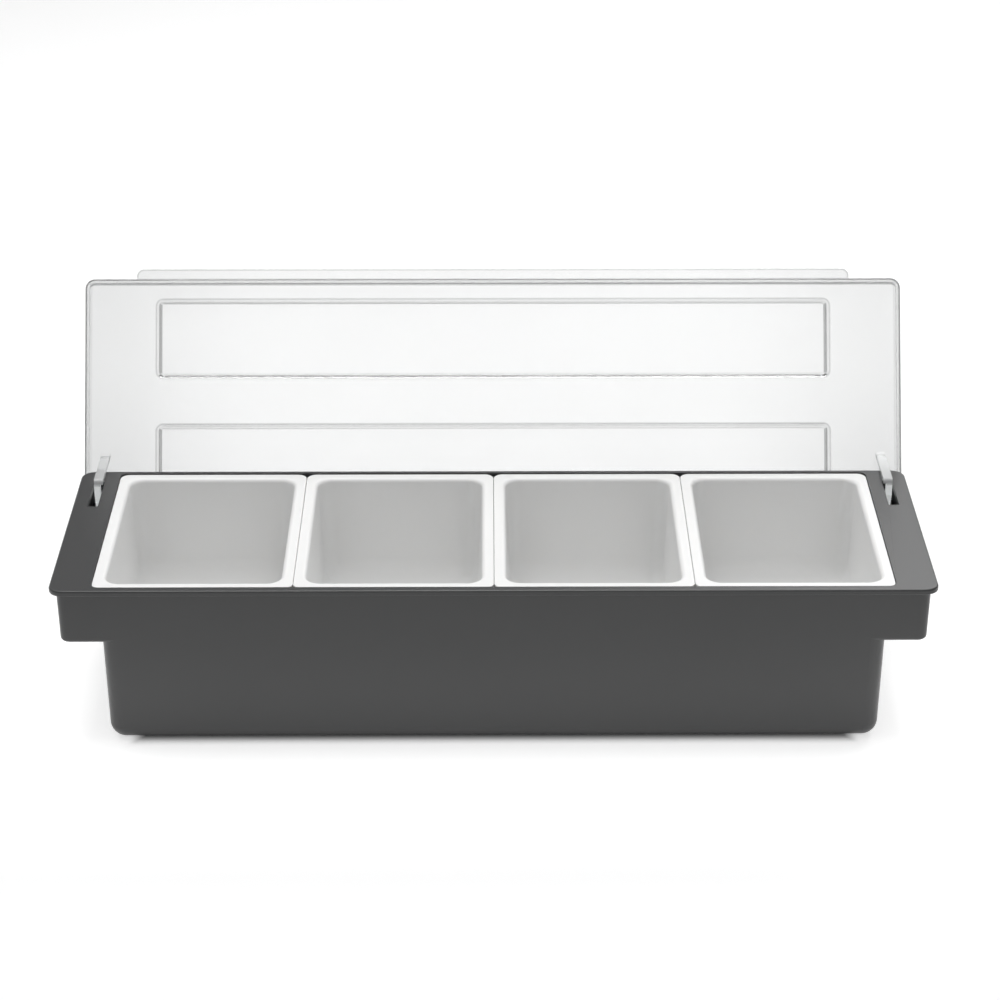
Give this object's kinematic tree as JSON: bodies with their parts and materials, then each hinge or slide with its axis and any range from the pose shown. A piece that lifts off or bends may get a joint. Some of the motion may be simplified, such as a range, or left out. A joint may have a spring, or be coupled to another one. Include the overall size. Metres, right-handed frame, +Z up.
{
  "type": "bar garnish tray",
  "caption": "Bar garnish tray: dark stepped tub under a flat deck, lift-out white pans, and a clear panelled lid that swings back on gooseneck arms.",
  "frame": {"origin": "centre of the tub's flat base", "axes": "+X along the tray to its right end, seen from the front; +Y from the front to the lid's hinge; +Z up"},
  "size_m": [0.496, 0.2245, 0.2042],
  "materials": {
    "housing": "satin",
    "pan": "satin",
    "lid": "clear",
    "pin": "satin"
  },
  "bodies": {
    "housing": {"tub": "housing", "top_frame": "housing", "hinge_pin_left": "pin", "hinge_pin_right": "pin"},
    "lid": {"lid": "lid"},
    "pan_1": {"pan_1": "pan"},
    "pan_2": {"pan_2": "pan"},
    "pan_3": {"pan_3": "pan"},
    "pan_4": {"pan_4": "pan"}
  },
  "joints": [
    {"name": "lid_hinge", "type": "hinge", "parent": "housing", "child": "lid", "pos_m": [0, 0.0646, 0.08595], "axis": [-1, 0, 0], "range_deg": [-118.3, 0]},
    {"name": "pan_1_lift", "type": "slide", "parent": "housing", "child": "pan_1", "axis": [0, 0, 1], "range_m": [0, 0.09]},
    {"name": "pan_2_lift", "type": "slide", "parent": "housing", "child": "pan_2", "axis": [0, 0, 1], "range_m": [0, 0.09]},
    {"name": "pan_3_lift", "type": "slide", "parent": "housing", "child": "pan_3", "axis": [0, 0, 1], "range_m": [0, 0.09]},
    {"name": "pan_4_lift", "type": "slide", "parent": "housing", "child": "pan_4", "axis": [0, 0, 1], "range_m": [0, 0.09]}
  ]
}
